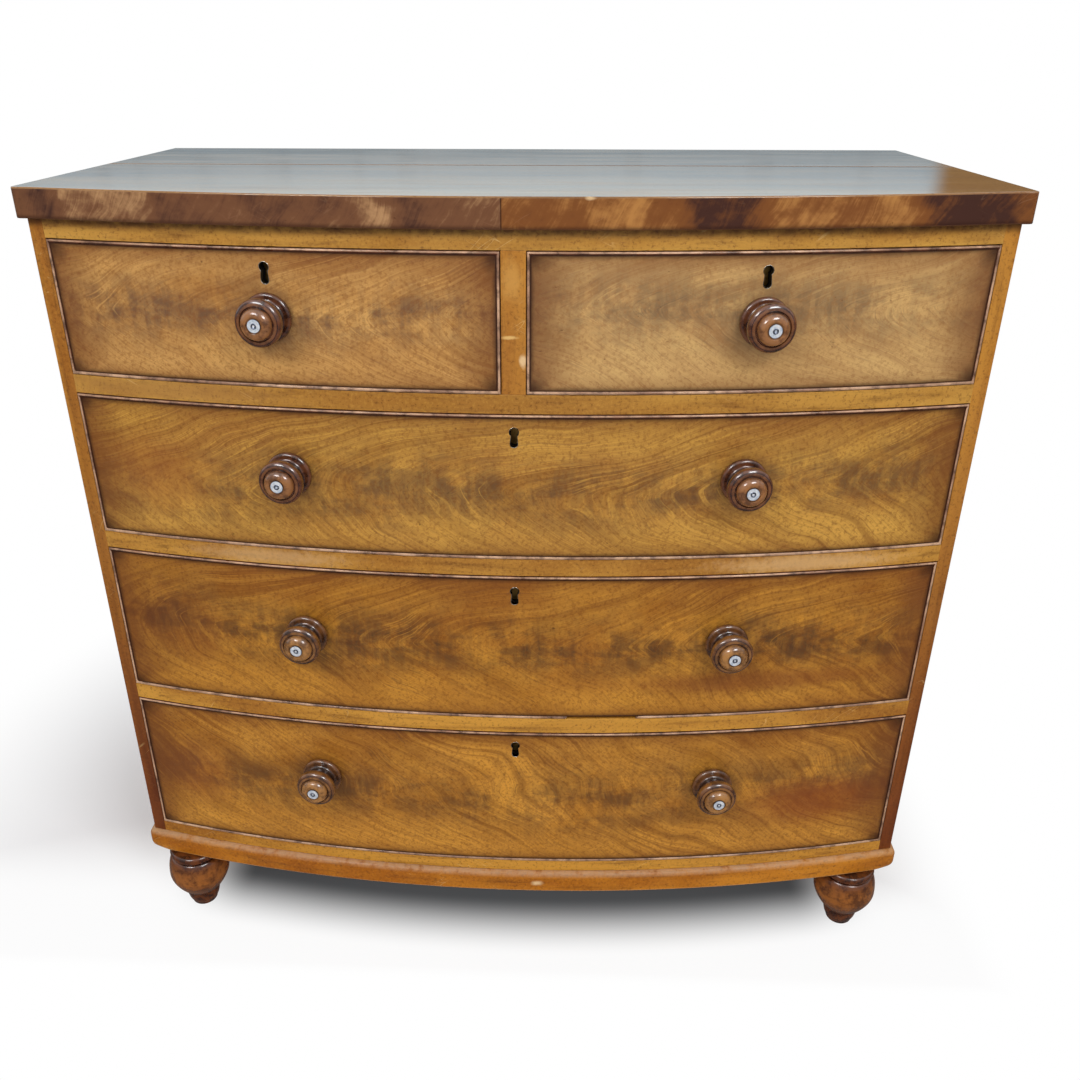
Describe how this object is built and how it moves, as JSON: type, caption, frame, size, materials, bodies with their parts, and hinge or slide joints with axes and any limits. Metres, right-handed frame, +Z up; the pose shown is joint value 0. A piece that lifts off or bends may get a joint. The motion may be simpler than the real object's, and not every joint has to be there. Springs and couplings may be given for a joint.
{
  "type": "bow front chest of drawers",
  "caption": "Bow-fronted mahogany chest of drawers with short drawers over long ones, cock-beaded fronts, turned knobs with pale discs and turned bun feet.",
  "frame": {"origin": "middle of the footprint, on the floor, at the centre of the bounding box in plan", "axes": "+Z up, +X to the right seen from the front, the bowed front faces -Y"},
  "size_m": [1.1, 0.5934, 1.0475],
  "materials": {
    "case_mahogany": "french polish, satin gloss",
    "front_veneer": "french polish over figured veneer",
    "top_veneer": "high gloss french polish",
    "cock_bead": "worn polish",
    "knob_mahogany": "gloss polish",
    "pine": "bare, aged",
    "oak": "bare, aged",
    "lock_iron": "dull, aged",
    "lock_brass": "dull"
  },
  "bodies": {
    "carcass": {"top_board": "top_veneer", "side_left": "case_mahogany", "side_right": "case_mahogany", "back_panel": "pine", "top_rail": "case_mahogany", "top_back_rail": "pine", "drawer_rail_upper": "case_mahogany", "drawer_rail_middle": "case_mahogany", "drawer_rail_lower": "case_mahogany", "dust_board_upper": "pine", "dust_board_middle": "pine", "dust_board_lower": "pine", "bottom_board": "case_mahogany", "centre_divider": "case_mahogany", "centre_guide": "oak", "plinth_front": "case_mahogany", "plinth_left": "case_mahogany", "plinth_right": "case_mahogany", "foot_front_left": "case_mahogany", "foot_front_right": "case_mahogany", "foot_back_left": "case_mahogany", "foot_back_right": "case_mahogany"},
    "short_drawer_left": {"short_drawer_left_front": "front_veneer", "short_drawer_left_box": "oak", "short_drawer_left_bottom": "pine", "short_drawer_left_cock_bead": "cock_bead", "short_drawer_left_lock_case": "lock_iron", "short_drawer_left_knob": "knob_mahogany"},
    "short_drawer_left_bolt": {"short_drawer_left_lock_bolt": "lock_brass"},
    "short_drawer_right": {"short_drawer_right_front": "front_veneer", "short_drawer_right_box": "oak", "short_drawer_right_bottom": "pine", "short_drawer_right_cock_bead": "cock_bead", "short_drawer_right_lock_case": "lock_iron", "short_drawer_right_knob": "knob_mahogany"},
    "short_drawer_right_bolt": {"short_drawer_right_lock_bolt": "lock_brass"},
    "upper_drawer": {"upper_drawer_front": "front_veneer", "upper_drawer_box": "oak", "upper_drawer_bottom": "pine", "upper_drawer_cock_bead": "cock_bead", "upper_drawer_lock_case": "lock_iron", "upper_drawer_knob_left": "knob_mahogany", "upper_drawer_knob_right": "knob_mahogany"},
    "upper_drawer_bolt": {"upper_drawer_lock_bolt": "lock_brass"},
    "middle_drawer": {"middle_drawer_front": "front_veneer", "middle_drawer_box": "oak", "middle_drawer_bottom": "pine", "middle_drawer_cock_bead": "cock_bead", "middle_drawer_lock_case": "lock_iron", "middle_drawer_knob_left": "knob_mahogany", "middle_drawer_knob_right": "knob_mahogany"},
    "middle_drawer_bolt": {"middle_drawer_lock_bolt": "lock_brass"},
    "lower_drawer": {"lower_drawer_front": "front_veneer", "lower_drawer_box": "oak", "lower_drawer_bottom": "pine", "lower_drawer_cock_bead": "cock_bead", "lower_drawer_lock_case": "lock_iron", "lower_drawer_knob_left": "knob_mahogany", "lower_drawer_knob_right": "knob_mahogany"},
    "lower_drawer_bolt": {"lower_drawer_lock_bolt": "lock_brass"}
  },
  "joints": [
    {"name": "short_drawer_left_slide", "type": "slide", "parent": "carcass", "child": "short_drawer_left", "axis": [0, -1, 0], "range_m": [0, 0.4]},
    {"name": "short_drawer_left_bolt_throw", "type": "slide", "parent": "short_drawer_left", "child": "short_drawer_left_bolt", "axis": [0, 0, 1], "range_m": [0, 0.008]},
    {"name": "short_drawer_right_slide", "type": "slide", "parent": "carcass", "child": "short_drawer_right", "axis": [0, -1, 0], "range_m": [0, 0.4]},
    {"name": "short_drawer_right_bolt_throw", "type": "slide", "parent": "short_drawer_right", "child": "short_drawer_right_bolt", "axis": [0, 0, 1], "range_m": [0, 0.008]},
    {"name": "upper_drawer_slide", "type": "slide", "parent": "carcass", "child": "upper_drawer", "axis": [0, -1, 0], "range_m": [0, 0.4]},
    {"name": "upper_drawer_bolt_throw", "type": "slide", "parent": "upper_drawer", "child": "upper_drawer_bolt", "axis": [0, 0, 1], "range_m": [0, 0.008]},
    {"name": "middle_drawer_slide", "type": "slide", "parent": "carcass", "child": "middle_drawer", "axis": [0, -1, 0], "range_m": [0, 0.4]},
    {"name": "middle_drawer_bolt_throw", "type": "slide", "parent": "middle_drawer", "child": "middle_drawer_bolt", "axis": [0, 0, 1], "range_m": [0, 0.008]},
    {"name": "lower_drawer_slide", "type": "slide", "parent": "carcass", "child": "lower_drawer", "axis": [0, -1, 0], "range_m": [0, 0.4]},
    {"name": "lower_drawer_bolt_throw", "type": "slide", "parent": "lower_drawer", "child": "lower_drawer_bolt", "axis": [0, 0, 1], "range_m": [0, 0.008]}
  ]
}
